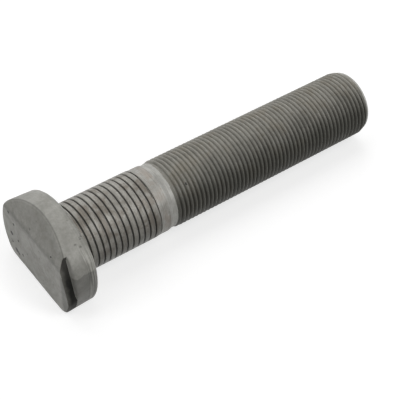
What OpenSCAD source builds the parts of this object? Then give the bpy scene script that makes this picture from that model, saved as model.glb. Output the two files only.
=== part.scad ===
// Wheel bolt: a one-piece forged stud with an oval head that is flat on one side.
// It lies on the flat of its head and on its shank, with its axis along X.
// Millimetres, +Z up, origin under the middle of the bolt.

/* [Shank and thread] */
// Nominal diameter: press fit and thread crests
bolt_d = 22; // [18:0.5:27]
// Overall length, head included
length = 120.5; // [100:0.5:170]
// Length of the press-fit zone under the head
press_len = 26; // [16:0.5:32]
// Diameter of the plain collar after the press fit
collar_d = 21.7; // [17:0.1:21.9]
// Length of the plain collar, its first taper included
collar_len = 4.3; // [2:0.1:8]
// Length of the taper from the press fit to the collar
collar_taper = 1; // [0.2:0.1:2]
// Diameter of the neck in front of the thread
neck_d = 21; // [16:0.1:21.6]
// Length of the taper from the collar to the neck
neck_taper = 1.4; // [0.5:0.1:3]
// Length of the straight neck
neck_len = 1.1; // [0.5:0.1:4]
// Length over which the thread starts from the neck
lead_in = 2.7; // [1:0.1:5]
// Diameter of the end face inside the end chamfer
end_d = 20; // [12:0.1:21]
// Axial length of the end chamfer
end_chamfer = 2.9; // [0.5:0.1:6]
// Fillet between the shank and the bearing face
root_fillet = 0.6; // [0.2:0.1:1.5]

/* [Head] */
// Width across the two round ends of the head
head_w = 37.6; // [34:0.2:46]
// Thickness of the head
head_h = 10.5; // [8:0.1:16]
// Height of the crown of the head above the bolt axis
crown_z = 16; // [14:0.1:17]
// Radius of the wide arc over the crown
crown_r = 23; // [21:0.5:30]
// Radius that blends a round end into the flat
foot_r = 4.5; // [2:0.5:6]
// Draft angle of the head's side, wider at the end face
draft = 2.5; // [0.5:0.1:4]
// Rounding of the rim at the end face
face_rim = 0.6; // [0.2:0.1:1.2]
// Rounding of the rim at the bearing face
bearing_rim = 1.5; // [0.4:0.1:2]

/* [Cuts in the head] */
// Height above the axis where the end face starts to lean back
crease_z = 7.5; // [4:0.1:11]
// Angle by which the end face leans back above that crease
lean = 24; // [5:1:35]
// Distance of the step's wall from the axis at the end face
step_off = 16.1; // [14:0.1:17.5]
// Depth of the step along the bolt
step_depth = 2.8; // [1:0.1:5]
// Angle of the step above the horizontal
step_turn = 17; // [0:1:30]
// Draft angle of the step's wall
step_draft = 13; // [1:1:20]

/* [Hidden] */
r = bolt_d / 2;
head_r = head_w / 2;

// Centre of the blend between a round end and the flat, and where it meets the round end
foot_y = foot_r - r;
foot_x = sqrt(pow(head_r - foot_r, 2) - foot_y * foot_y);
side_low = atan2(foot_y, foot_x);
BLEND_OUT = 0.03;
// How far a cutting shape stands past the head at each face
CLEAR = 1;

// Axial stations from the end face of the head
collar_z = head_h + press_len;
taper_z = collar_z + collar_len;
neck_z = taper_z + neck_taper;
lead_z = neck_z + neck_len;
thread_z = lead_z + lead_in;
chamfer_z = length - end_chamfer;

// Section of a wall of the head: both rims rounded, the end-face side drafted outwards
module wall(out, slope, back = 0) {
    fx = out - face_rim * (tan(slope) + 1 / cos(slope));
    bx = out - (head_h - bearing_rim) * tan(slope) - bearing_rim / cos(slope);
    polygon([
        [-back, 0], [fx, 0],
        [fx + face_rim * cos(slope), face_rim * (1 + sin(slope))],
        [bx + bearing_rim * cos(slope), head_h - bearing_rim * (1 - sin(slope))],
        [bx, head_h], [-back, head_h]
    ]);
    translate([fx, face_rim]) circle(face_rim, $fn = 64);
    translate([bx, head_h - bearing_rim]) circle(bearing_rim, $fn = 64);
}

// Drafted round of the head about a centre on the vertical through the axis
module round_wall(y, arc_r) {
    translate([0, y, 0]) rotate_extrude($fn = 180) wall(arc_r, draft);
}

// Undrafted wall along the flat, with everything above it
module flat_wall() {
    rotate([0, 0, -90]) rotate([90, 0, 0])
        linear_extrude(3 * head_w, center = true) wall(r, 0, 2 * head_w);
}

// Corner stock beyond the blend between a round end and the flat
module foot_corner() {
    half = (side_low + 90) / 2;
    reach = 3 * foot_r;
    translate([
        foot_x + BLEND_OUT * cos(half - 90), foot_y + BLEND_OUT * sin(half - 90), 0
    ])
        difference() {
            translate([0, 0, -CLEAR]) rotate([0, 0, -90])
                linear_extrude(head_h + 2 * CLEAR)
                polygon([
                    [0, 0], [reach, 0], [reach * cos(2 * half), reach * sin(2 * half)]
                ]);
            translate([0, 0, -2 * CLEAR])
                cylinder(h = head_h + 4 * CLEAR, r = foot_r, $fn = 120);
        }
}

// Wedge that leans the end face back above the crease
module crown_cut() {
    translate([-head_w, crease_z, 0]) rotate([lean, 0, 0])
        translate([0, 0, -head_h]) cube([2 * head_w, head_w, head_h]);
}

// Step cut into one round end from the end face
module step_cut() {
    rotate([0, 0, 180 - step_turn]) rotate([90, 0, 0])
        linear_extrude(head_w, center = true)
        polygon([
            [step_off - CLEAR * tan(step_draft), -CLEAR],
            [step_off + step_depth * tan(step_draft), step_depth],
            [head_w, step_depth], [head_w, -CLEAR]
        ]);
}

module head() {
    difference() {
        intersection() {
            round_wall(0, head_r);
            round_wall(crown_z - crown_r, crown_r);
            flat_wall();
        }
        foot_corner();
        mirror([1, 0, 0]) foot_corner();
        crown_cut();
        step_cut();
    }
}

// Turned and rolled shank, with the thread as a plain cylinder over its crests
module shank() {
    rotate_extrude($fn = 180)
        polygon([
            [0, head_h / 2], [r, head_h / 2],
            [r, collar_z], [collar_d / 2, collar_z + collar_taper],
            [collar_d / 2, taper_z], [neck_d / 2, neck_z],
            [neck_d / 2, lead_z], [r, thread_z],
            [r, chamfer_z], [end_d / 2, length], [0, length]
        ]);
}

// Fillet under the head, trimmed level with the flat
module root_ring() {
    intersection() {
        rotate_extrude($fn = 180)
            difference() {
                translate([r - CLEAR, head_h - CLEAR])
                    square([root_fillet + CLEAR, root_fillet + CLEAR]);
                translate([r + root_fillet, head_h + root_fillet])
                    circle(root_fillet, $fn = 48);
            }
        translate([-head_w, -r, 0]) cube([2 * head_w, head_w, 2 * head_h]);
    }
}

module wheel_bolt() {
    color([0.45, 0.45, 0.43])
        translate([-length / 2, 0, r]) rotate([90, 0, 90]) {
            head();
            shank();
            root_ring();
        }
}

wheel_bolt();
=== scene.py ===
"""Looks of the wheel bolt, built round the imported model.

The head and the shank are modelled in millimetres: a station s runs along the bolt
from the end face of the head, and y and z are measured from the bolt's axis, with z up.
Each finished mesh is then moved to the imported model's frame, in metres.
"""

import logging
import math
from collections.abc import Callable
from dataclasses import dataclass, field, replace
from enum import Enum

import bmesh
import bpy
from bmesh.types import BMesh, BMFace, BMVert
from mathutils import Matrix, Vector, noise

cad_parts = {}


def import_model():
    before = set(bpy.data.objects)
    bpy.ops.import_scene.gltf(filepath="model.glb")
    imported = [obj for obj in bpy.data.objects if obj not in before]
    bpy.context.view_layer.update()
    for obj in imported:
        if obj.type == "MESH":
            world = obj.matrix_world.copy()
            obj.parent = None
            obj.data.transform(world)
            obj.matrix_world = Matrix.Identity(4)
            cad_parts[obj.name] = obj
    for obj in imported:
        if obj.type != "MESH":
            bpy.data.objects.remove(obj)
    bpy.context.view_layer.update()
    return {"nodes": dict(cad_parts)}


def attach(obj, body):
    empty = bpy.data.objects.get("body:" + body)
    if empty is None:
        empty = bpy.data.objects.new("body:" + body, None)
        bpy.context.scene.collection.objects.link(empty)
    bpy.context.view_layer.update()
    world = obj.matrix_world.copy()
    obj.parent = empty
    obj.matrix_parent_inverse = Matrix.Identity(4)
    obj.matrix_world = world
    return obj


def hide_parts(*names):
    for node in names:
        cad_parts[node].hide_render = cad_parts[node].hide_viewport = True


LOG = logging.getLogger("wheel_bolt")

MM = 0.001
BODY = "root"
NODE = "wheel_bolt"
MERGE = 0.002
WHITE = (1.0, 1.0, 1.0)

Socket = bpy.types.NodeSocket
Triple = tuple[float, float, float]
Value = Socket | float
Paint = Socket | Triple
Feed = Socket | float | Triple | None
Section = list[tuple[float, float]]


class Hand(Enum):
    """Way that a helix turns; the value is the sign of its advance."""

    LEFT = -1
    RIGHT = 1


class Zone(Enum):
    """Stretch of the bolt with a finish of its own; the value is its material index."""

    FORGED = 0
    STEP = 1
    GROOVED = 2
    COLLAR = 3
    THREAD = 4
    END = 5
    NECK = 6


# Finishes


@dataclass(frozen=True)
class Pattern:
    """Noise: size in millimetres, finer layers, their weight, and how far it twists."""

    size: float
    layers: float = 3.0
    weight: float = 0.5
    twist: float = 0.0


@dataclass(frozen=True)
class Fade:
    """Smooth change of a result between two limits of an input, held outside them."""

    start: float
    stop: float
    before: float = 0.0
    after: float = 1.0

    def to(self, before: float, after: float) -> "Fade":
        """The same limits with other results."""
        return replace(self, before=before, after=after)


@dataclass(frozen=True)
class Pit:
    """Small hole in the skin: place in the frame and radius, in millimetres."""

    place: Triple
    radius: float


@dataclass(frozen=True)
class SteelFinish:
    """Look of one steel surface. Colours are linear, lengths in millimetres."""

    name: str
    light: Triple
    dark: Triple
    warm: Triple = (0.30, 0.26, 0.21)
    warm_share: float = 0.0
    metallic: float = 0.2
    specular: float = 0.4
    roughness: float = 0.45
    roughness_spread: float = 0.12
    blotch: float = 9.0
    mottle: float = 0.4
    speckle: float = 0.5
    grain: float = 0.35
    grain_depth: float = 0.02
    lines: float = 0.0
    lines_depth: float = 0.0
    pits: float = 0.0
    # Share of painted shade on the near lower flank
    lower_shade: float = 0.0
    holes: tuple[Pit, ...] = ()
    # Painted shade deep in the grooves, between the root radius and the crest radius
    root_shade: float = 0.0
    root_radius: float = 10.1
    crest_radius: float = 10.95


class NodeSheet:
    """Node tree of a material or world, with short ways to add and join nodes."""

    def __init__(self, owner: bpy.types.Material | bpy.types.World, output: str) -> None:
        """Clears the tree and adds its output.

        Args:
            owner: material or world that has the tree.
            output: type of its output node.
        """
        owner.use_nodes = True
        self.tree = owner.node_tree
        self.tree.nodes.clear()
        self.output = self.add(output)

    def add(self, kind: str, **settings: object) -> bpy.types.Node:
        """Adds a node and sets its properties.

        Args:
            kind: node type without the ShaderNode prefix.
            settings: properties by name.

        Returns:
            The new node.
        """
        made = self.tree.nodes.new("ShaderNode" + kind)
        for key, value in settings.items():
            setattr(made, key, value)
        return made

    def feed(self, value: Feed, target: Socket) -> None:
        """Links a socket to an input, or sets the input; None leaves it alone.

        Args:
            value: socket, number, vector or colour.
            target: the input.
        """
        if isinstance(value, bpy.types.NodeSocket):
            self.tree.links.new(value, target)
        elif value is not None:
            target.default_value = (*value, 1.0) if target.type == "RGBA" else value

    def make(
        self, kind: str, feeds: dict[int | str, Feed], out: int | str = 0, **settings: object
    ) -> Socket:
        """Adds a node and feeds its inputs.

        Args:
            kind: node type without the ShaderNode prefix.
            feeds: what goes into each input, by number or name.
            out: number or name of the output to give.
            settings: properties by name.

        Returns:
            The output socket.
        """
        made = self.add(kind, **settings)
        for key, value in feeds.items():
            self.feed(value, made.inputs[key])
        return made.outputs[out]

    def math(self, operation: str, a: Value, b: Value = 0.0, clamp: bool = False) -> Socket:
        """Result of an operation on two values."""
        return self.make("Math", {0: a, 1: b}, operation=operation, use_clamp=clamp)

    def fade(self, value: Value, fade: Fade, unit: float = 1.0) -> Socket:
        """A value mapped by a fade, with the unit that its limits are in."""
        parts = (value, fade.start * unit, fade.stop * unit, fade.before, fade.after)
        return self.make("MapRange", dict(enumerate(parts)), interpolation_type="SMOOTHSTEP")

    def blend(self, share: Value, a: Paint, b: Paint, way: str = "MIX") -> Socket:
        """Two colours mixed, with the share of the second one."""
        # Inputs 6 and 7 and output 2 are the node's colours
        return self.make("Mix", {0: share, 6: a, 7: b}, 2, data_type="RGBA", blend_type=way)

    def grey(self, value: Value) -> Socket:
        """A number as a grey colour."""
        return self.make("CombineColor", dict.fromkeys(range(3), value))

    def noise(self, where: Socket, pattern: Pattern, out: str = "Fac") -> Socket:
        """Noise over some coordinates: its factor or its colour."""
        feeds = {
            "Vector": where,
            "Scale": 1.0 / (pattern.size * MM),
            "Detail": pattern.layers,
            "Roughness": pattern.weight,
            "Distortion": pattern.twist,
        }
        return self.make("TexNoise", feeds, out)

    def stretched(self, where: Socket, scale: Triple) -> Socket:
        """Coordinates scaled unevenly, so that a pattern is drawn out."""
        return self.make("Mapping", {"Vector": where, "Scale": scale})

    def bump(self, height: Value, depth: float, normal: Socket | None) -> Socket:
        """Normal of a relief with a depth in millimetres, laid over another normal."""
        feeds = {"Strength": 1.0, "Distance": depth * MM, "Height": height, "Normal": normal}
        return self.make("Bump", feeds)

    def seen(self) -> Socket:
        """Tells the rays by which a surface is seen from the others.

        Returns:
            A socket that is 1 for such a ray, else 0.
        """
        rays = self.add("LightPath").outputs
        direct = self.math("MAXIMUM", rays["Is Camera Ray"], rays["Is Glossy Ray"])
        return self.math("MAXIMUM", direct, rays["Is Transmission Ray"])


class SteelMaterial:
    """Builds a steel finish, layer on layer. Lengths are in millimetres."""

    # Tone: coarse blotches, finer ones and a stain, with sizes as shares of the blotch
    blotch = Pattern(1.0, 4.0, 0.6, 0.6)
    fine = Pattern(1 / 4.5, 4.0, 0.65)
    stain = Pattern(0.95, 4.0, 0.62, 0.3)
    speck = Pattern(1.0, 2.0, 0.7)
    blotch_tone = Fade(0.32, 0.68)
    fine_tone = Fade(0.35, 0.65)
    stain_tone = Fade(0.48, 0.64)
    gloss = Fade(0.3, 0.7)

    # Lines left by the tool, drawn round the bolt
    line = Pattern(1.0, 3.0, 0.7)
    line_stretch = (1.0, 0.04, 0.04)
    line_tone = Fade(0.35, 0.65, 0.80, 1.14)

    # Small pits in loose groups
    pit_spacing = 1.9
    pit_group = Pattern(6.0, 2.0)
    pit_share = Fade(0.50, 0.66)
    pit_size = 0.30
    pit_edge = Fade(0.0, 0.14)
    pit_depth = 0.12
    pit_colour = (0.02, 0.02, 0.018)

    # Larger pits at their places, with a ragged edge
    hole_shake = Pattern(0.7, 2.0)
    hole_swing = 0.9
    hole_edge = Fade(0.9, 1.5, 1.0, 0.0)
    hole_depth = 0.25
    hole_colour = (0.006, 0.006, 0.004)

    # Painted shade on the near lower flank, by the height above the ground and the distance
    # behind the near side
    lower_shade_waves = Pattern(7.0)
    lower_shade_swing = 5.0
    lower_shade_lift = Fade(-26.0, -14.0, 2.4 * MM, -3.0 * MM)
    lower_shade_height = Fade(13.0, 23.5)
    lower_shade_side = Fade(-6.0, 0.0, 1.0, 0.0)
    lower_shade_colour = (0.035, 0.035, 0.027)

    # Painted shade deep in the grooves
    root_shade_colour = (0.018, 0.018, 0.015)

    def __init__(self, finish: SteelFinish) -> None:
        """Starts with the plain dark colour and no relief.

        Args:
            finish: look to build.
        """
        self.finish = finish
        self.material = bpy.data.materials.new(finish.name)
        self.sheet = NodeSheet(self.material, "OutputMaterial")
        self.where = self.sheet.add("TexCoord").outputs["Object"]
        axes = self.sheet.add("SeparateXYZ")
        self.sheet.feed(self.where, axes.inputs[0])
        self.x, self.y, self.z = axes.outputs
        self.colour: Paint = finish.dark
        self.relief: Socket | None = None

    def noise(self, pattern: Pattern, scale: float = 1.0) -> Socket:
        """Noise over the bolt, its size multiplied by a scale."""
        return self.sheet.noise(self.where, replace(pattern, size=pattern.size * scale))

    def waver(self, pattern: Pattern, reach: float) -> Socket:
        """Noise over the bolt that reaches up to a length."""
        return self.sheet.math("MULTIPLY", self.noise(pattern), reach * MM)

    def tint(self, share: Value, colour: Paint, way: str = "MIX") -> None:
        """Lays a colour over the colour so far."""
        self.colour = self.sheet.blend(share, self.colour, colour, way)

    def emboss(self, height: Value, depth: float) -> None:
        """Lays relief over the relief so far."""
        self.relief = self.sheet.bump(height, depth, self.relief)

    def build(self) -> bpy.types.Material:
        """Makes the nodes.

        Returns:
            The finished material.
        """
        s, f = self.sheet, self.finish
        blotch = self.noise(self.blotch, f.blotch)
        self.base(blotch)
        if f.lines:
            self.tool_lines()
        if f.pits:
            self.small_pits()
        self.marks()
        if f.holes:
            self.large_pits()
        # Painted shade on the near lower flank
        if f.lower_shade:
            self.paint_lower_shade()
        if f.root_shade:
            self.shade_roots()
        half = f.roughness_spread / 2
        gloss = self.gloss.to(f.roughness + half, f.roughness - half)
        feeds = {
            "Base Color": self.colour,
            "Metallic": f.metallic,
            "Specular IOR Level": f.specular,
            "Roughness": s.fade(blotch, gloss),
            "Normal": self.relief,
        }
        s.feed(s.make("BsdfPrincipled", feeds), s.output.inputs["Surface"])
        return self.material

    def base(self, blotch: Socket) -> None:
        """Makes the mottled grey of the steel, with its stains and its grain.

        Args:
            blotch: coarse noise.
        """
        s, f = self.sheet, self.finish
        speck = self.noise(self.speck, f.grain)
        tone = s.math("MULTIPLY", s.math("SUBTRACT", speck, 0.5), f.speckle)
        coarse = s.fade(blotch, self.blotch_tone.to(0.0, 1.0 - f.mottle))
        fine = s.fade(self.noise(self.fine, f.blotch), self.fine_tone.to(0.0, f.mottle))
        tone = s.math("ADD", s.math("ADD", tone, coarse), fine, clamp=True)
        self.tint(tone, f.light)
        if f.warm_share:
            stain = self.noise(self.stain, f.blotch)
            self.tint(s.fade(stain, self.stain_tone.to(0.0, f.warm_share)), f.warm)
        self.emboss(speck, f.grain_depth)

    def marks(self) -> None:
        """Adds marks of its own; a plain finish has none."""

    def tool_lines(self) -> None:
        """Adds the fine lines that turning leaves."""
        s, f = self.sheet, self.finish
        pattern = replace(self.line, size=f.lines)
        lines = s.noise(s.stretched(self.where, self.line_stretch), pattern)
        self.emboss(lines, f.lines_depth)
        self.tint(1.0, s.grey(s.fade(lines, self.line_tone)), "MULTIPLY")

    def small_pits(self) -> None:
        """Adds small dark pits, in loose groups."""
        s = self.sheet
        cells = {"Vector": self.where, "Scale": 1.0 / (self.pit_spacing * MM)}
        away = s.make("TexVoronoi", cells, "Distance", feature="F1")
        group = s.fade(self.noise(self.pit_group), self.pit_share)
        size = s.math("MULTIPLY", group, self.pit_size)
        hole = s.fade(s.math("SUBTRACT", size, away), self.pit_edge)
        self.emboss(s.math("SUBTRACT", 1.0, hole), self.pit_depth)
        self.tint(s.math("MULTIPLY", hole, self.finish.pits), self.pit_colour)

    def large_pits(self) -> None:
        """Adds the larger pits at their places."""
        s = self.sheet
        shake = s.noise(self.where, self.hole_shake, "Color")
        swing = self.hole_swing * MM
        off = s.make("VectorMath", {0: shake, "Scale": swing}, operation="SCALE")
        moved = s.make("VectorMath", {0: self.where, 1: off}, operation="ADD")
        deep: Value = 0.0
        for pit in self.finish.holes:
            centre = [(c + self.hole_swing / 2) * MM for c in pit.place]
            ends = {0: moved, 1: centre}
            away = s.make("VectorMath", ends, "Value", operation="DISTANCE")
            hole = s.fade(away, self.hole_edge, pit.radius * MM)
            deep = s.math("MAXIMUM", deep, hole)
        self.emboss(s.math("SUBTRACT", 1.0, deep), self.hole_depth)
        self.tint(deep, self.hole_colour)

    def paint_lower_shade(self) -> None:
        """Paints shade on the near lower flank, darker towards the ground."""
        s = self.sheet
        height = s.math("ADD", self.z, self.waver(self.lower_shade_waves, self.lower_shade_swing))
        height = s.math("ADD", height, s.fade(self.x, self.lower_shade_lift, MM))
        low = s.fade(height, self.lower_shade_height.to(self.finish.lower_shade, 0.0), MM)
        near = s.fade(self.y, self.lower_shade_side, MM)
        self.tint(s.math("MULTIPLY", low, near), self.lower_shade_colour)

    def shade_roots(self) -> None:
        """Paints shade on what lies deep in a groove, by its distance from the axis."""
        s, f = self.sheet, self.finish
        axis = (0.0, 0.0, -BoltSizes().axis_z * MM)
        moves = {"Vector": self.where, "Location": axis, "Scale": (0.0, 1.0, 1.0)}
        radius = s.make("VectorMath", {0: s.make("Mapping", moves)}, "Value", operation="LENGTH")
        limits = Fade(f.root_radius, f.crest_radius, f.root_shade, 0.0)
        self.tint(s.fade(radius, limits, MM), self.root_shade_colour)


class ForgedMaterial(SteelMaterial):
    """Blasted forged skin with rim streaks, and painted shade at a soft crease, as a rim line
    and on a dark flank.
    """

    # Slow waver of the marks' edges
    wander = Pattern(2.5, 3.0, 0.6)
    wander_swing = 2.6

    # Painted shade along the soft valley where the end face bends, seen on the face only
    crease_z = 18.3
    crease_edge = Fade(0.0, 1.5, 0.38, 0.0)
    crease_face = Fade(-59.4, -59.0, 1.0, 0.0)
    crease_shade_colour = (0.05, 0.049, 0.042)

    # Painted shade as a thin dark line along the rim of the leaning face
    rim_x = -59.97
    rim_edge = Fade(0.06, 0.27, 0.42, 0.0)
    rim_start = Fade(0.5, 3.0)
    rim_shade_colour = (0.05, 0.05, 0.044)

    # Painted shade on the near flank, darker towards the ground
    flank_height = Fade(15.55, 16.05, 0.50, 0.0)
    flank_side = Fade(-15.5, -13.5, 1.0, 0.0)
    flank_shade_colour = (0.04, 0.04, 0.036)

    # Streaks round the bearing rim
    streak = Pattern(0.55)
    streak_stretch = (1.0, 0.05, 0.05)
    streak_along = Fade(-53.6, -52.7)
    streak_height = Fade(19.0, 23.5, 1.0, 0.12)
    streak_tone = Fade(0.38, 0.62, 0.68, 1.58)
    streak_depth = 0.15

    def marks(self) -> None:
        """Adds painted shade at the crease, on the dark flank and as the rim line, and the
        streaks.
        """
        s = self.sheet
        wander = s.math("SUBTRACT", self.noise(self.wander), 0.5)
        wander = s.math("MULTIPLY", wander, self.wander_swing * MM)
        height = s.math("ADD", self.z, wander)
        self.crease(height)
        self.flank(height)
        self.paint_rim_shade()
        self.streaks()

    def crease(self, height: Socket) -> None:
        """Paints shade along the soft valley where the end face bends.

        Args:
            height: height with a slow waver.
        """
        s = self.sheet
        away = s.math("ABSOLUTE", s.math("SUBTRACT", height, self.crease_z * MM))
        on_face = s.fade(self.x, self.crease_face, MM)
        share = s.math("MULTIPLY", s.fade(away, self.crease_edge, MM), on_face)
        self.tint(share, self.crease_shade_colour)

    def flank(self, height: Socket) -> None:
        """Paints shade on the near flank of the head, darker towards the ground.

        Args:
            height: height with a slow waver.
        """
        s = self.sheet
        low = s.fade(height, self.flank_height, MM)
        near = s.fade(self.y, self.flank_side, MM)
        self.tint(s.math("MULTIPLY", low, near), self.flank_shade_colour)

    def paint_rim_shade(self) -> None:
        """Paints shade as a thin dark line along the rim of the leaning face."""
        s = self.sheet
        above = s.math("MAXIMUM", s.math("SUBTRACT", self.z, self.crease_z * MM), 0.0)
        back = s.math("MULTIPLY", above, math.tan(LEAN))
        rim = s.math("ADD", back, self.rim_x * MM)
        away = s.math("ABSOLUTE", s.math("SUBTRACT", self.x, rim))
        start = s.fade(above, self.rim_start, MM)
        self.tint(s.math("MULTIPLY", s.fade(away, self.rim_edge, MM), start), self.rim_shade_colour)

    def streaks(self) -> None:
        """Adds the streaks round the bearing rim, in tone and relief."""
        s = self.sheet
        lines = s.noise(s.stretched(self.where, self.streak_stretch), self.streak)
        along = s.fade(self.x, self.streak_along, MM)
        on_rim = s.math("MULTIPLY", along, s.fade(self.z, self.streak_height, MM))
        tone = s.grey(s.fade(lines, self.streak_tone))
        self.tint(on_rim, s.blend(1.0, self.colour, tone, "MULTIPLY"))
        self.emboss(s.math("MULTIPLY", lines, on_rim), self.streak_depth)


class DarkStepMaterial(SteelMaterial):
    """Near-black colour of the step, lighter towards the end face, the top and the foot."""

    waves = Pattern(2.0)
    waves_swing = 1.2
    face_lightening = Fade(-60.9, -59.4, 0.55, 0.0)
    top_lightening = Fade(12.0, 20.0, 0.0, 0.22)
    foot_lightening = Fade(0.5, 5.0, 0.16, 0.0)
    lighter_step_colour = (0.20, 0.195, 0.175)

    def marks(self) -> None:
        """Lightens the near-black colour towards the end face, the top and the foot."""
        s = self.sheet
        along = s.math("SUBTRACT", self.x, self.waver(self.waves, self.waves_swing))
        share = s.fade(along, self.face_lightening, MM)
        for lighten in (self.top_lightening, self.foot_lightening):
            share = s.math("ADD", share, s.fade(self.z, lighten, MM), clamp=True)
        self.tint(share, self.lighter_step_colour)


# Sizes

LEAN = math.radians(24)


@dataclass(frozen=True)
class BoltSizes:
    """Sizes of the bolt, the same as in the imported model, in millimetres."""

    length: float = 120.5
    radius: float = 11.0
    axis_z: float = 11.0
    head_h: float = 10.5
    collar_s: float = 36.5
    collar_taper: float = 1.0
    collar_r: float = 10.85
    taper_s: float = 40.8
    neck_s: float = 42.2
    neck_r: float = 10.5
    lead_s: float = 43.3
    chamfer_s: float = 117.6
    end_r: float = 10.0
    root_fillet: float = 0.6


@dataclass
class Mould:
    """Working mesh with the helpers that both pieces share."""

    mesh: BMesh = field(default_factory=bmesh.new)
    sharp: float = math.radians(50)
    tiny: float = 1e-5
    near: float = 1e-4

    def ring(self, places: list[Vector]) -> list[BMVert]:
        """Starts a closed ring of vertices.

        Args:
            places: where the vertices go, in order.

        Returns:
            The vertices in order.
        """
        count = len(places)
        made = bmesh.ops.create_circle(self.mesh, segments=count, radius=1.0)
        verts = sorted(made["verts"], key=lambda v: math.atan2(v.co.y, v.co.x))
        for vert, place in zip(verts, places):
            vert.co = place
        return verts

    def grow(self, ring: list[BMVert], places: list[Vector]) -> list[BMVert]:
        """Extrudes a closed ring and puts the new one in place.

        Args:
            ring: vertices of the last ring, in order.
            places: where the new ring's vertices go.

        Returns:
            The new ring's vertices in order.
        """
        edges = [self.mesh.edges.get(pair) for pair in zip(ring, ring[1:] + ring[:1])]
        made = bmesh.ops.extrude_edge_only(self.mesh, edges=edges)["geom"]
        order = {vert: i for i, vert in enumerate(ring)}
        fresh: dict[int, BMVert] = {}
        for vert in (g for g in made if isinstance(g, BMVert)):
            for edge in vert.link_edges:
                other = edge.other_vert(vert)
                if other in order:
                    fresh[order[other]] = vert
        new = [fresh[i] for i in range(len(ring))]
        for vert, place in zip(new, places):
            vert.co = place
        return new

    def cap(
        self, ring: list[BMVert], shape: list[Vector], station: float, shares: tuple[float, ...]
    ) -> None:
        """Closes an end with ever smaller rings and one vertex in the middle.

        Args:
            ring: vertices of the last ring, in order.
            shape: where a ring of full size would lie.
            station: place of the end along the bolt.
            shares: sizes of the rings.
        """
        for share in shares:
            ring = self.grow(ring, [Vector((station, p.y * share, p.z * share)) for p in shape])
        middle = sum((v.co for v in ring), Vector()) / len(ring)
        bmesh.ops.pointmerge(self.mesh, verts=ring, merge_co=middle)

    def finish(self, name: str, materials: list[bpy.types.Material]) -> bpy.types.Object:
        """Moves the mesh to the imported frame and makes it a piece.

        Args:
            name: name of the piece.
            materials: its materials, in the order of Zone.

        Returns:
            The linked object.
        """
        sizes, mesh = BoltSizes(), self.mesh
        bmesh.ops.dissolve_degenerate(mesh, dist=self.tiny, edges=mesh.edges)
        bmesh.ops.recalc_face_normals(mesh, faces=mesh.faces)
        move = Matrix.Translation((-sizes.length / 2, 0.0, sizes.axis_z))
        bmesh.ops.transform(mesh, matrix=Matrix.Scale(MM, 4) @ move, verts=mesh.verts)
        for face in mesh.faces:
            face.smooth = True
        data = bpy.data.meshes.new(name)
        mesh.to_mesh(data)
        mesh.free()
        data.set_sharp_from_angle(angle=self.sharp)
        for material in materials:
            data.materials.append(material)
        piece = bpy.data.objects.new(name, data)
        bpy.context.scene.collection.objects.link(piece)
        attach(piece, BODY)
        LOG.info("%s: %d faces", name, len(data.polygons))
        return piece


def eased(value: float) -> float:
    """Smooth step from 0 to 1, held outside that range."""
    t = min(1.0, max(0.0, value))
    return t * t * (3.0 - 2.0 * t)


def angle_of(place: Vector) -> float:
    """Turn about the axis, from straight up towards -y, as a share of a full turn."""
    return (math.atan2(-place.y, place.z) / math.tau) % 1.0


# Head


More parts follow.
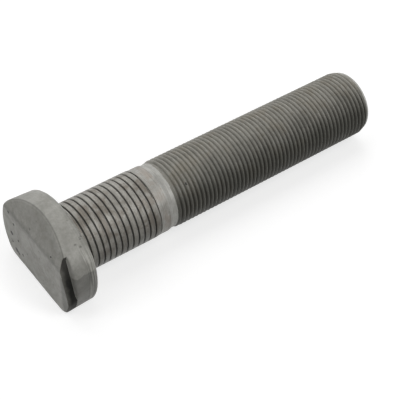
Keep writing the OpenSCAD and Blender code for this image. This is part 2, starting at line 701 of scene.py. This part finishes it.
@dataclass
class ForgedHead:
    """Oval head: outline, drafted side, rounded rims, leaning crown and step."""

    sizes: BoltSizes = field(default_factory=BoltSizes)
    half_width: float = 18.8
    crown_z: float = 16.0
    crown_r: float = 23.0
    shoulder_r: float = 8.0
    foot_r: float = 4.5
    draft: float = math.radians(2.5)
    face_rim: float = 0.6
    bearing_rim: float = 1.5
    crease_z: float = 7.5
    crease_soft: float = 0.45
    lean: float = LEAN
    step_off: float = 16.1
    step_depth: float = 2.8
    step_turn: float = math.radians(17)
    step_draft: float = math.radians(13)
    step_round: float = 0.28
    step_rim: float = 0.15
    step_start: float = 0.5
    spacing: float = 0.42
    fewest: int = 4

    # Rows of the wall: room under the rim, the step's corners and the plain side
    ledge_room: float = 1.3
    wall_row: float = 0.6
    inner_round: float = 0.35
    corner_share: float = 0.3
    ledge_rows: Triple = (0.06, 0.08, 0.12)
    rim_steps: int = 4
    side_steps: int = 8
    bearing_steps: int = 5

    # Rings that close the bearing face and the end face, and cuts along the crease
    back_rings: tuple[float, ...] = (0.75, 0.5)
    face_rings: tuple[float, ...] = (
        0.985, 0.96, 0.92, 0.87, 0.81, 0.74, 0.66, 0.57, 0.47, 0.36, 0.24, 0.12
    )
    crease_cuts: tuple[float, ...] = (-0.6, -0.2, 0.2, 0.6)

    # Waves of the forged skin: rate and weight of each, their depth and their middle
    waves: tuple[tuple[float, float], ...] = ((0.16, 1.0), (0.45, 0.5))
    wave_depth: float = 0.05
    wave_middle: float = 0.8

    # Where the near-black colour lies: on the wall and, below it, down the near foot
    dark_slack: float = 0.06
    dark_facing: float = 0.85
    dark_foot_z: float = -3.1
    dark_foot_facing: float = -0.2
    dark_start: float = 0.05
    dark_past: float = 0.1

    def arcs(self) -> list[tuple[float, float, float, float, float]]:
        """Arcs of one half of the outline, from the flat up to the crown.

        Returns:
            Centre y, centre z, radius and both end angles of each arc.
        """
        foot_z = self.foot_r - self.sizes.radius
        foot_y = math.sqrt((self.half_width - self.foot_r) ** 2 - foot_z**2)
        centre = self.crown_z - self.crown_r
        inner = self.half_width - self.shoulder_r
        outer = self.crown_r - self.shoulder_r
        top_z = (centre**2 + inner**2 - outer**2) / (2 * centre)
        top_y = math.sqrt(inner**2 - top_z**2)
        side_low = math.atan2(foot_z, foot_y)
        side_top = math.atan2(top_z, top_y)
        crown = math.atan2(top_z - centre, top_y)
        return [
            (foot_y, foot_z, self.foot_r, -math.pi / 2, side_low),
            (0.0, 0.0, self.half_width, side_low, side_top),
            (top_y, top_z, self.shoulder_r, side_top, crown),
            (0.0, centre, self.crown_r, crown, math.pi / 2),
        ]

    def outline(self) -> list[tuple[Vector, Vector]]:
        """Walks round the outline.

        Returns:
            Points of the outline with their outward normals, both with x of 0.
        """
        arcs = self.arcs()
        half: list[tuple[Vector, Vector]] = []
        foot_y, low = arcs[0][0], -self.sizes.radius
        steps = round(foot_y / self.spacing)
        for i in range(steps):
            y = foot_y * (i + 0.5) / steps
            half.append((Vector((0, y, low)), Vector((0, 0, -1))))
        for y, z, radius, start, stop in arcs:
            steps = max(self.fewest, round(radius * (stop - start) / self.spacing))
            for i in range(steps):
                a = start + (stop - start) * (i + 0.5) / steps
                normal = Vector((0, math.cos(a), math.sin(a)))
                half.append((Vector((0, y, z)) + radius * normal, normal))
        flip = Matrix.Diagonal((1, -1, 1))
        return half + [(flip @ p, flip @ n) for p, n in reversed(half)]

    def face_s(self, z: float) -> float:
        """Station of the end face at a height: flat, then leaning back."""
        above = z - self.crease_z
        return math.tan(self.lean) * (math.hypot(above, self.crease_soft) + above) / 2

    def step_normal(self) -> Vector:
        """Outward normal of the step's wall, its draft left aside."""
        return Vector((0, -math.cos(self.step_turn), math.sin(self.step_turn)))

    def cut_back(self, place: Vector, station: float) -> float:
        """How far a point of the outline lies beyond the step's wall."""
        wall = self.step_off + math.tan(self.step_draft) * station
        return max(0.0, place.dot(self.step_normal()) - wall)

    def side(self, place: Vector, normal: Vector, station: float, inset: float = 0.0) -> Vector:
        """Point of the drafted side at a station, or so far inside it as the inset says."""
        draft = math.tan(self.draft) * station
        return place - normal * (draft + inset) + Vector((station, 0, 0))

    def wall(self, place: Vector, normal: Vector, station: float) -> Vector:
        """Point of the side, cut back to the step's wall where it lies beyond it."""
        at = self.side(place, normal, station)
        return at - self.step_normal() * self.cut_back(at, station)

    def profile(self, place: Vector, normal: Vector) -> list[Vector]:
        """Section of the wall at one point of the outline, from face to bearing rim.

        Args:
            place: point of the outline.
            normal: outward normal there.

        Returns:
            The section's points.
        """
        top = self.face_s(place.z)
        ledge = max(self.step_depth, top + self.ledge_room)
        deep = self.cut_back(place, ledge)
        share = eased(deep / self.step_start)
        rows = self.face_rows(place, normal, top, share)
        rows += self.ledge_section(place, normal, ledge, deep, share)
        start = ledge + self.ledge_rows[2] + self.step_round
        last = self.sizes.head_h - self.bearing_rim
        for i in range(1, self.side_steps + 1):
            station = start + (last - start) * i / self.side_steps
            rows.append(self.side(place, normal, station))
        for i in range(1, self.bearing_steps + 1):
            a = math.pi / 2 * i / self.bearing_steps
            inset = self.bearing_rim * (1 - math.cos(a))
            station = last + self.bearing_rim * math.sin(a)
            rows.append(self.side(place, normal, station, inset))
        return rows

    def face_rows(
        self, place: Vector, normal: Vector, top: float, share: float
    ) -> list[Vector]:
        """Rounded rim between the end face and the side or the step's wall.

        Args:
            place: point of the outline.
            normal: outward normal there.
            top: station of the end face.
            share: how far the step has started here, from 0 to 1.

        Returns:
            The rim's points.
        """
        facing = normal.lerp(self.step_normal(), share).normalized()
        rim = self.face_rim + (self.step_rim - self.face_rim) * share
        rows: list[Vector] = []
        for i in range(self.rim_steps + 1):
            a = math.pi / 2 * i / self.rim_steps
            depth = rim * (1 - math.sin(a))
            back = rim * (1 - math.cos(a))
            at = self.wall(place, normal, top + back) - facing * depth
            at.x = self.face_s(at.z) + back
            rows.append(at)
        return rows

    def ledge_section(
        self, place: Vector, normal: Vector, ledge: float, deep: float, share: float
    ) -> list[Vector]:
        """Wall and ledge of the step, which fold flat where there is no step.

        Args:
            place: point of the outline.
            normal: outward normal there.
            ledge: station of the ledge.
            deep: width of the ledge.
            share: how far the step has started here, from 0 to 1.

        Returns:
            The section's points.
        """
        out = self.step_normal()
        inner = min(self.inner_round, deep / 2)
        part, r = self.corner_share, self.step_round * share
        near, middle, far = self.ledge_rows
        return [
            self.wall(place, normal, ledge - self.wall_row),
            self.wall(place, normal, ledge - inner),
            self.wall(place, normal, ledge - inner * part) + out * inner * part,
            self.wall(place, normal, ledge) + out * inner,
            self.side(place, normal, ledge + near * (1 - share), r),
            self.side(place, normal, ledge + middle + part * r, part * r),
            self.side(place, normal, ledge + far + r),
        ]

    def roughen(self, mould: Mould) -> None:
        """Gives the forged skin its slight waves, inwards only.

        Args:
            mould: mesh with the head.
        """
        low = -self.sizes.radius + self.wave_depth
        for vert in mould.mesh.verts:
            if vert.co.z < low:
                continue
            wave = sum(weight * noise.noise(vert.co * rate) for rate, weight in self.waves)
            depth = self.wave_depth * (self.wave_middle - wave)
            vert.co -= vert.normal * max(0.0, depth)

    def build(self, materials: list[bpy.types.Material]) -> bpy.types.Object:
        """Makes the head.

        Args:
            materials: finishes in the order of Zone.

        Returns:
            The piece.
        """
        mould = Mould()
        outline = self.outline()
        sections = [self.profile(place, normal) for place, normal in outline]
        rows = [list(row) for row in zip(*sections)]
        ring = first = mould.ring(rows[0])
        for row in rows[1:]:
            ring = mould.grow(ring, row)
        plain = [place for place, _ in outline]
        mould.cap(ring, plain, self.sizes.head_h, self.back_rings)
        before = set(mould.mesh.faces)
        mould.cap(first, rows[0], 0.0, self.face_rings)
        self.crease(mould, [f for f in mould.mesh.faces if f not in before])
        bmesh.ops.recalc_face_normals(mould.mesh, faces=mould.mesh.faces)
        mould.mesh.normal_update()
        self.mark_step(mould)
        self.roughen(mould)
        return mould.finish("forged_head", materials)

    def crease(self, mould: Mould, face: list[BMFace]) -> None:
        """Cuts the end face along its crease and bends it there.

        Args:
            mould: mesh with the head.
            face: faces of the end face.
        """
        for shift in self.crease_cuts:
            geom = {g for f in face if f.is_valid for g in (f, *f.edges, *f.verts)}
            cut = bmesh.ops.bisect_plane(
                mould.mesh,
                geom=list(geom),
                dist=mould.near,
                plane_co=(0, 0, self.crease_z + shift),
                plane_no=(0, 0, 1),
            )
            face = [g for g in cut["geom"] if isinstance(g, BMFace)]
        for vert in {v for f in face for v in f.verts}:
            vert.co.x = self.face_s(vert.co.z)

    def mark_step(self, mould: Mould) -> None:
        """Gives the step's wall, and the near foot below it, the near-black colour.

        Args:
            mould: mesh with the head.
        """
        out = self.step_normal()
        side = -self.step_off / 2
        for face in mould.mesh.faces:
            middle, facing = face.calc_center_median(), face.normal
            wall = self.step_off + math.tan(self.step_draft) * middle.x
            on_wall = abs(middle.dot(out) - wall) < self.dark_slack
            on_wall = on_wall and facing.dot(out) > self.dark_facing
            on_foot = middle.z < self.dark_foot_z and middle.y < side
            on_foot = on_foot and facing.y < self.dark_foot_facing
            along = self.dark_start < middle.x < self.step_depth + self.dark_past
            if (on_wall or on_foot) and along:
                face.material_index = Zone.STEP.value


# Shank


def spin(mesh: BMesh, places: Section, steps: int, advance: float, merge: bool) -> list[BMVert]:
    """Spins a chain of points once round the axis.

    Args:
        mesh: mesh to add to.
        places: station and radius of each point.
        steps: steps of the turn.
        advance: distance along the bolt that each step gains.
        merge: whether the end of the turn joins its start.

    Returns:
        The new vertices.
    """
    old = set(mesh.verts)
    seeds = [bmesh.ops.create_vert(mesh, co=(s, 0.0, r))["vert"][0] for s, r in places]
    edges = [mesh.edges.new(pair) for pair in zip(seeds, seeds[1:])]
    bmesh.ops.spin(
        mesh,
        geom=seeds + edges,
        cent=(0, 0, 0),
        axis=(1, 0, 0),
        dvec=(advance, 0, 0),
        angle=math.tau,
        steps=steps,
        use_merge=merge,
        use_duplicate=False,
    )
    return [v for v in mesh.verts if v not in old]


@dataclass
class Helix:
    """Helical relief on the shank. Lengths in millimetres, angles as shares of a turn."""

    pitch: float
    hand: Hand
    start: float
    stop: float
    crest_s: float
    offsets: tuple[float, ...]
    relief: Callable[[float, float], float]

    def phase(self, station: float, turn: float) -> float:
        """Distance along the bolt to the nearest crest line, from -pitch/2 to pitch/2."""
        raw = station - self.crest_s - self.hand.value * turn * self.pitch
        return (raw + self.pitch / 2) % self.pitch - self.pitch / 2

    def build(self, mesh: BMesh, columns: int) -> None:
        """Adds the skin to a mesh.

        One pitch of the profile is spun through a turn, repeated along the bolt and
        trimmed square at both ends. Each vertex then takes its own radius.

        Args:
            mesh: mesh to add to.
            columns: vertices around the bolt.
        """
        turns = math.ceil((self.stop - self.start) / self.pitch) + 2
        pitches = math.floor((self.start - self.crest_s) / self.pitch - 1)
        first = self.crest_s + self.pitch * pitches
        chain = [(first + offset, 1.0) for offset in self.offsets]
        made = spin(mesh, chain, columns, self.hand.value * self.pitch / columns, False)
        geom = list({g for v in made for g in (v, *v.link_edges, *v.link_faces)})
        for k in range(1, turns + 1):
            copy = bmesh.ops.duplicate(mesh, geom=geom)["geom"]
            verts = [g for g in copy if isinstance(g, BMVert)]
            bmesh.ops.translate(mesh, verts=verts, vec=(k * self.pitch, 0, 0))
            made += verts
        for vert in made:
            vert.co.x = min(self.stop, max(self.start, vert.co.x))
        bmesh.ops.remove_doubles(mesh, verts=made, dist=MERGE)
        for vert in (v for v in made if v.is_valid):
            turn = angle_of(vert.co)
            radius = self.relief(vert.co.x, self.phase(vert.co.x, turn))
            angle = turn * math.tau
            vert.co.y, vert.co.z = -radius * math.sin(angle), radius * math.cos(angle)


@dataclass
class TurnedShank:
    """Press-fit zone with its groove, collar, neck and thread."""

    sizes: BoltSizes = field(default_factory=BoltSizes)
    hand: Hand = Hand.RIGHT
    columns: int = 144
    inside_head: float = 8.0
    plug_r: float = 5.0
    collar_steps: int = 12

    # Groove of the press-fit zone, and the lengths over which it starts and ends
    groove_pitch: float = 2.008
    groove_s: float = 19.57
    groove_half: float = 0.33
    groove_depth: float = 0.42
    groove_stop: float = 38.6
    groove_steep: float = 1.5
    groove_in: tuple[float, float] = (0.2, 0.8)
    groove_out: tuple[float, float] = (1.3, 0.6)
    land_rows: tuple[float, ...] = (-0.55, -0.2, 0.2, 0.55)
    wall_rows: tuple[float, ...] = (1.0, 0.72, 0.4, 0.0)

    # Thread, and the lengths over which its crest rises and its root is cut
    thread_pitch: float = 1.5
    thread_crest_s: float = 18.25
    thread_start: float = 0.4
    thread_depth: float = 0.72
    crest_half: float = 0.16
    crest_round: float = 0.02
    crest_drop: float = 0.03
    root_half: float = 0.14
    crest_rise: tuple[float, float] = (0.6, 2.3)
    root_cut: tuple[float, float] = (0.2, 1.0)
    first_depth: float = 0.6

    # Rim of the end face, and shares of its radius at which its rings lie
    end_round: float = 0.45
    end_steps: int = 6
    end_rings: tuple[float, ...] = (0.9, 0.75, 0.55, 0.3, 0.0)

    # How far each finish runs past the station that it belongs to
    end_band: float = 0.9
    thread_band: float = 0.1
    neck_band: float = -0.3
    collar_band: float = 0.3

    def body_radius(self, station: float) -> float:
        """Radius of the plain shank under the relief.

        Args:
            station: place along the bolt.

        Returns:
            The radius.
        """
        z = self.sizes
        stops = (
            (z.collar_s, z.radius),
            (z.collar_s + z.collar_taper, z.collar_r),
            (z.taper_s, z.collar_r),
            (z.neck_s, z.neck_r),
            (z.lead_s, z.neck_r),
        )
        radius = z.radius
        for (s0, r0), (s1, r1) in zip(stops, stops[1:]):
            if station >= s0:
                radius = r0 + (r1 - r0) * eased((station - s0) / (s1 - s0))
        return radius

    def grooved(self, station: float, phase: float) -> float:
        """Radius in the press-fit zone: broad lands with a narrow groove between.

        Args:
            station: place along the bolt.
            phase: distance to the middle of a land.

        Returns:
            The radius.
        """
        z = self.sizes
        into = abs(phase) - (self.groove_pitch / 2 - self.groove_half)
        (lead, rise), (tail, fall) = self.groove_in, self.groove_out
        fade = eased((station - z.head_h - lead) / rise)
        fade *= 1.0 - eased((station - self.groove_stop + tail) / fall)
        steep = eased(into / self.groove_half * self.groove_steep)
        radius = self.body_radius(station) - self.groove_depth * steep * fade
        up = z.head_h + z.root_fillet - station
        if 0.0 < up <= z.root_fillet:
            radius += z.root_fillet - math.sqrt(z.root_fillet**2 - up**2)
        return radius

    def threaded(self, station: float, phase: float) -> float:
        """Radius in the threaded zone.

        Args:
            station: place along the bolt.
            phase: distance to the middle of a crest.

        Returns:
            The radius.
        """
        z = self.sizes
        flank = self.thread_pitch / 2 - self.crest_half - self.root_half
        down = min(1.0, max(0.0, (abs(phase) - self.crest_half) / flank))
        past_lead = station - z.lead_s
        rise = eased((past_lead + self.crest_rise[0]) / self.crest_rise[1])
        cut = eased((past_lead + self.root_cut[0]) / self.root_cut[1])
        crest = z.neck_r + (z.radius - self.crest_drop - z.neck_r) * rise
        over = math.pi * min(1.0, abs(phase) / self.crest_half)
        depth = self.thread_depth * (self.first_depth + (1 - self.first_depth) * rise)
        radius = crest - cut * (self.crest_round * (1 - math.cos(over)) + depth * down)
        past = max(0.0, station - z.chamfer_s) / (z.length - z.chamfer_s)
        return min(radius, z.radius + (z.end_r - z.radius) * past)

    def groove(self) -> Helix:
        """Lays out the helical skin of the press-fit zone.

        Returns:
            The helix.
        """
        middle = self.groove_pitch / 2
        edges = [middle - self.groove_half * share for share in self.wall_rows]
        around = [-p for p in reversed(edges)] + list(self.land_rows) + edges
        return Helix(
            self.groove_pitch,
            self.hand,
            self.inside_head,
            self.groove_stop,
            self.groove_s,
            tuple(around),
            self.grooved,
        )

    def thread(self) -> Helix:
        """Lays out the helical skin of the thread.

        Returns:
            The helix.
        """
        z, p, c, r = self.sizes, self.thread_pitch, self.crest_half, self.root_half
        cut = (0.0, c, (p / 2 - r + c) / 2, p / 2 - r, p / 2)
        mirrored = [p - o for o in reversed(cut[:-1])]
        return Helix(
            p,
            self.hand,
            z.neck_s + self.thread_start,
            z.length - self.end_round,
            self.thread_crest_s,
            (*cut, *mirrored),
            self.threaded,
        )

    def build(self, materials: list[bpy.types.Material]) -> bpy.types.Object:
        """Makes the shank.

        Args:
            materials: finishes in the order of Zone.

        Returns:
            The piece.
        """
        z, mould = self.sizes, Mould()
        mesh = mould.mesh
        groove, thread = self.groove(), self.thread()
        gap, parts = thread.start - groove.stop, self.collar_steps
        middle = [groove.stop + gap * i / parts for i in range(parts + 1)]
        plug = [(groove.start, radius) for radius in (0.0, self.plug_r, z.radius)]
        for chain in (
            [(s, self.body_radius(s)) for s in middle],
            plug,
            self.end_chain(thread.stop),
        ):
            spin(mesh, chain, self.columns, 0.0, True)
        groove.build(mesh, self.columns)
        thread.build(mesh, self.columns)
        bmesh.ops.remove_doubles(mesh, verts=mesh.verts, dist=MERGE)
        for vert in mesh.verts:
            vert.co.z = max(-z.radius, vert.co.z)
        self.mark_zones(mesh)
        return mould.finish("turned_shank", materials)

    def end_chain(self, start: float) -> Section:
        """Profile of the rounded rim and the end face, from the thread inwards.

        Args:
            start: station where the thread ends.

        Returns:
            Station and radius of each point.
        """
        z, r = self.sizes, self.end_round
        chain = [(start, self.threaded(start, 0.0))]
        for i in range(1, self.end_steps + 1):
            a = math.pi / 2 * i / self.end_steps
            chain.append((z.length - r * (1 - math.sin(a)), z.end_r - r * (1 - math.cos(a))))
        return chain + [(z.length, z.end_r * share) for share in self.end_rings]

    def mark_zones(self, mesh: BMesh) -> None:
        """Gives each stretch of the shank its finish.

        Args:
            mesh: mesh with the shank.
        """
        z = self.sizes
        starts = (
            (z.length - self.end_band, Zone.END),
            (z.lead_s + self.thread_band, Zone.THREAD),
            (z.taper_s + self.neck_band, Zone.NECK),
            (z.collar_s + self.collar_band, Zone.COLLAR),
        )
        for face in mesh.faces:
            s = face.calc_center_median().x
            zone = next((zone for start, zone in starts if s > start), Zone.GROOVED)
            face.material_index = zone.value


# Stage


@dataclass(frozen=True)
class SoftBox:
    """Rectangular lamp that looks at the bolt. Lengths in metres."""

    name: str
    place: Triple
    size: tuple[float, float]
    power: float
    aim: Triple = (0.0, 0.0, 0.01)

    def build(self) -> None:
        """Makes the lamp."""
        lamp = bpy.data.lights.new(self.name, "AREA")
        lamp.shape = "RECTANGLE"
        lamp.size, lamp.size_y = self.size
        lamp.energy = self.power
        holder = bpy.data.objects.new(self.name, lamp)
        holder.location = self.place
        facing = Vector(self.aim) - Vector(self.place)
        holder.rotation_euler = facing.to_track_quat("-Z", "Y").to_euler()
        bpy.context.scene.collection.objects.link(holder)
        LOG.info("lamp %s", self.name)


@dataclass
class Studio:
    """Floor, lamps, world and camera."""

    world_level: float = 0.12
    floor_size: float = 3.0
    floor_cuts: int = 8
    floor_shade: float = 0.50
    floor_lift: float = 0.66
    lamps: tuple[SoftBox, ...] = (
        SoftBox("overhead_softbox", (0.05, 0.50, 0.85), (1.1, 1.0), 4.2),
        SoftBox("back_softbox", (0.50, 1.00, 0.45), (1.0, 0.6), 2.1),
        SoftBox("front_softbox", (0.43, -0.72, 0.54), (0.36, 0.58), 2.6),
        SoftBox("upper_softbox", (0.30, -0.45, 0.85), (0.50, 0.36), 1.7),
        SoftBox("side_softbox", (-0.80, 0.25, 0.60), (0.5, 0.5), 2.3),
    )
    camera_place: Triple = (-0.154717, -0.200243, 0.258191)
    camera_right: Triple = (0.806026, -0.591479, 0.021781)
    camera_down: Triple = (-0.411128, -0.585970, -0.698292)
    lens: float = 102.375
    sensor: float = 36.0
    nearest: float = 0.01

    def build(self) -> None:
        """Sets up everything round the bolt."""
        self.build_floor()
        self.build_world()
        for lamp in self.lamps:
            lamp.build()
        self.build_camera()
        bpy.context.scene.view_settings.view_transform = "Standard"

    def build_floor(self) -> None:
        """Makes the pale floor, which keeps the bolt's shadow."""
        mesh = bmesh.new()
        cuts = self.floor_cuts
        bmesh.ops.create_grid(mesh, x_segments=cuts, y_segments=cuts, size=self.floor_size)
        data = bpy.data.meshes.new("studio_floor")
        mesh.to_mesh(data)
        mesh.free()
        floor = bpy.data.objects.new("studio_floor", data)
        bpy.context.scene.collection.objects.link(floor)
        data.materials.append(self.floor_material())

    def floor_material(self) -> bpy.types.Material:
        """Pale matt paper, lifted towards white for what looks straight at it.

        Returns:
            The material.
        """
        material = bpy.data.materials.new("pale_paper")
        s = NodeSheet(material, "OutputMaterial")
        paper = s.make("BsdfDiffuse", {"Color": (self.floor_shade,) * 3})
        seen = s.math("MULTIPLY", s.seen(), self.floor_lift)
        lift = s.make("Emission", {"Color": WHITE, "Strength": seen})
        s.feed(s.make("AddShader", {0: paper, 1: lift}), s.output.inputs["Surface"])
        return material

    def build_world(self) -> None:
        """Makes the even surroundings: dim as a light, white where they are seen."""
        world = bpy.data.worlds.new("studio_room")
        bpy.context.scene.world = world
        s = NodeSheet(world, "OutputWorld")
        level = s.make("MapRange", {"Value": s.seen(), "To Min": self.world_level})
        shade = s.make("Background", {"Color": WHITE, "Strength": level})
        s.feed(shade, s.output.inputs["Surface"])

    def build_camera(self) -> None:
        """Makes the camera at the photograph's angle."""
        data = bpy.data.cameras.new("photo_camera")
        data.lens = self.lens
        data.sensor_width = self.sensor
        data.clip_start = self.nearest
        right, up = Vector(self.camera_right), -Vector(self.camera_down)
        turn = Matrix((right, up, right.cross(up))).transposed().to_4x4()
        camera = bpy.data.objects.new("photo_camera", data)
        camera.matrix_world = Matrix.Translation(self.camera_place) @ turn
        bpy.context.scene.collection.objects.link(camera)
        bpy.context.scene.camera = camera


FINISHES: dict[Zone, SteelFinish] = {
    Zone.FORGED: SteelFinish(
        "blasted_forged_steel",
        light=(0.305, 0.30, 0.275),
        dark=(0.215, 0.212, 0.19),
        metallic=0.15,
        roughness=0.5,
        blotch=5.0,
        grain=0.30,
        grain_depth=0.03,
        pits=0.35,
        holes=(
            Pit((-60.2, 13.4, 9.3), 0.66),
            Pit((-60.2, 11.5, 3.5), 0.72),
            Pit((-60.2, 10.4, 3.0), 0.48),
            Pit((-60.2, 7.8, 4.7), 0.42),
            Pit((-60.2, 11.5, 14.7), 0.42),
            Pit((-60.2, 9.6, 9.2), 0.38),
            Pit((-60.2, 13.5, 5.7), 0.38),
            Pit((-60.2, 14.1, 17.7), 0.40),
            Pit((-55.0, -10.0, 26.7), 0.75),
            Pit((-55.5, -12.2, 25.0), 0.50),
            Pit((-59.9, -9.4, 19.4), 0.26),
        ),
    ),
    Zone.STEP: SteelFinish(
        "near_black_step",
        light=(0.016, 0.016, 0.014),
        dark=(0.007, 0.007, 0.006),
        metallic=0.0,
        specular=0.12,
        roughness=0.6,
        blotch=3.0,
    ),
    Zone.GROOVED: SteelFinish(
        "turned_press_fit_steel",
        light=(0.32, 0.31, 0.28),
        dark=(0.215, 0.205, 0.18),
        warm=(0.150, 0.130, 0.105),
        warm_share=0.85,
        speckle=1.0,
        # Painted shade on the near lower flank
        lower_shade=0.58,
        metallic=0.15,
        roughness=0.40,
        blotch=6.0,
        grain=0.35,
        grain_depth=0.025,
        lines=0.16,
        lines_depth=0.015,
        # Painted shade deep in the grooves
        root_shade=0.93,
        root_radius=10.62,
        crest_radius=10.93,
    ),
    Zone.COLLAR: SteelFinish(
        "plain_collar_steel",
        light=(0.35, 0.345, 0.32),
        dark=(0.25, 0.24, 0.215),
        warm=(0.24, 0.20, 0.165),
        warm_share=0.55,
        # Painted shade on the near lower flank
        lower_shade=0.12,
        metallic=0.18,
        roughness=0.44,
        blotch=5.0,
        grain=0.5,
        grain_depth=0.008,
        lines=0.2,
        lines_depth=0.004,
    ),
    Zone.THREAD: SteelFinish(
        "rolled_thread_steel",
        light=(0.32, 0.31, 0.275),
        dark=(0.218, 0.21, 0.185),
        warm=(0.21, 0.185, 0.14),
        warm_share=0.45,
        # Painted shade on the near lower flank
        lower_shade=0.81,
        holes=(
            Pit((-14.4, -4.8, 20.8), 0.40),
            Pit((-11.4, -7.3, 19.1), 0.50),
            Pit((-2.2, -10.0, 15.2), 0.45),
            Pit((4.0, -9.8, 15.8), 0.40),
        ),
        metallic=0.08,
        specular=0.3,
        roughness=0.45,
        blotch=7.0,
        grain=0.3,
        grain_depth=0.012,
        # Painted shade deep in the thread's roots
        root_shade=0.06,
        root_radius=10.2,
        crest_radius=10.95,
    ),
    # Cut end, lighter: a painted highlight on the end rim
    Zone.END: SteelFinish(
        "cut_end_painted_highlight",
        light=(0.50, 0.495, 0.465),
        dark=(0.36, 0.355, 0.33),
        metallic=0.2,
        roughness=0.40,
        blotch=4.0,
        pits=0.4,
    ),
    # Neck, lighter: a painted highlight on the edge before the taper
    Zone.NECK: SteelFinish(
        "neck_painted_highlight",
        light=(0.40, 0.395, 0.37),
        dark=(0.31, 0.305, 0.28),
        # Painted shade on the near lower flank
        lower_shade=0.10,
        metallic=0.18,
        roughness=0.42,
        blotch=5.0,
        grain=0.5,
        grain_depth=0.008,
        lines=0.2,
        lines_depth=0.004,
    ),
}

SPECIAL: dict[Zone, type[SteelMaterial]] = {
    Zone.FORGED: ForgedMaterial,
    Zone.STEP: DarkStepMaterial,
}


def main() -> None:
    """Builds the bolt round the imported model, then the studio."""
    logging.basicConfig(level=logging.INFO, format="%(name)s: %(message)s")
    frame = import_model()
    LOG.info("nodes in the frame: %s", sorted(frame["nodes"]))
    finishes = [SPECIAL.get(zone, SteelMaterial)(FINISHES[zone]).build() for zone in Zone]
    head = ForgedHead().build(finishes)
    shank = TurnedShank().build(finishes)
    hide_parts(NODE)
    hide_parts(NODE)
    Studio().build()


if __name__ == "__main__":
    main()
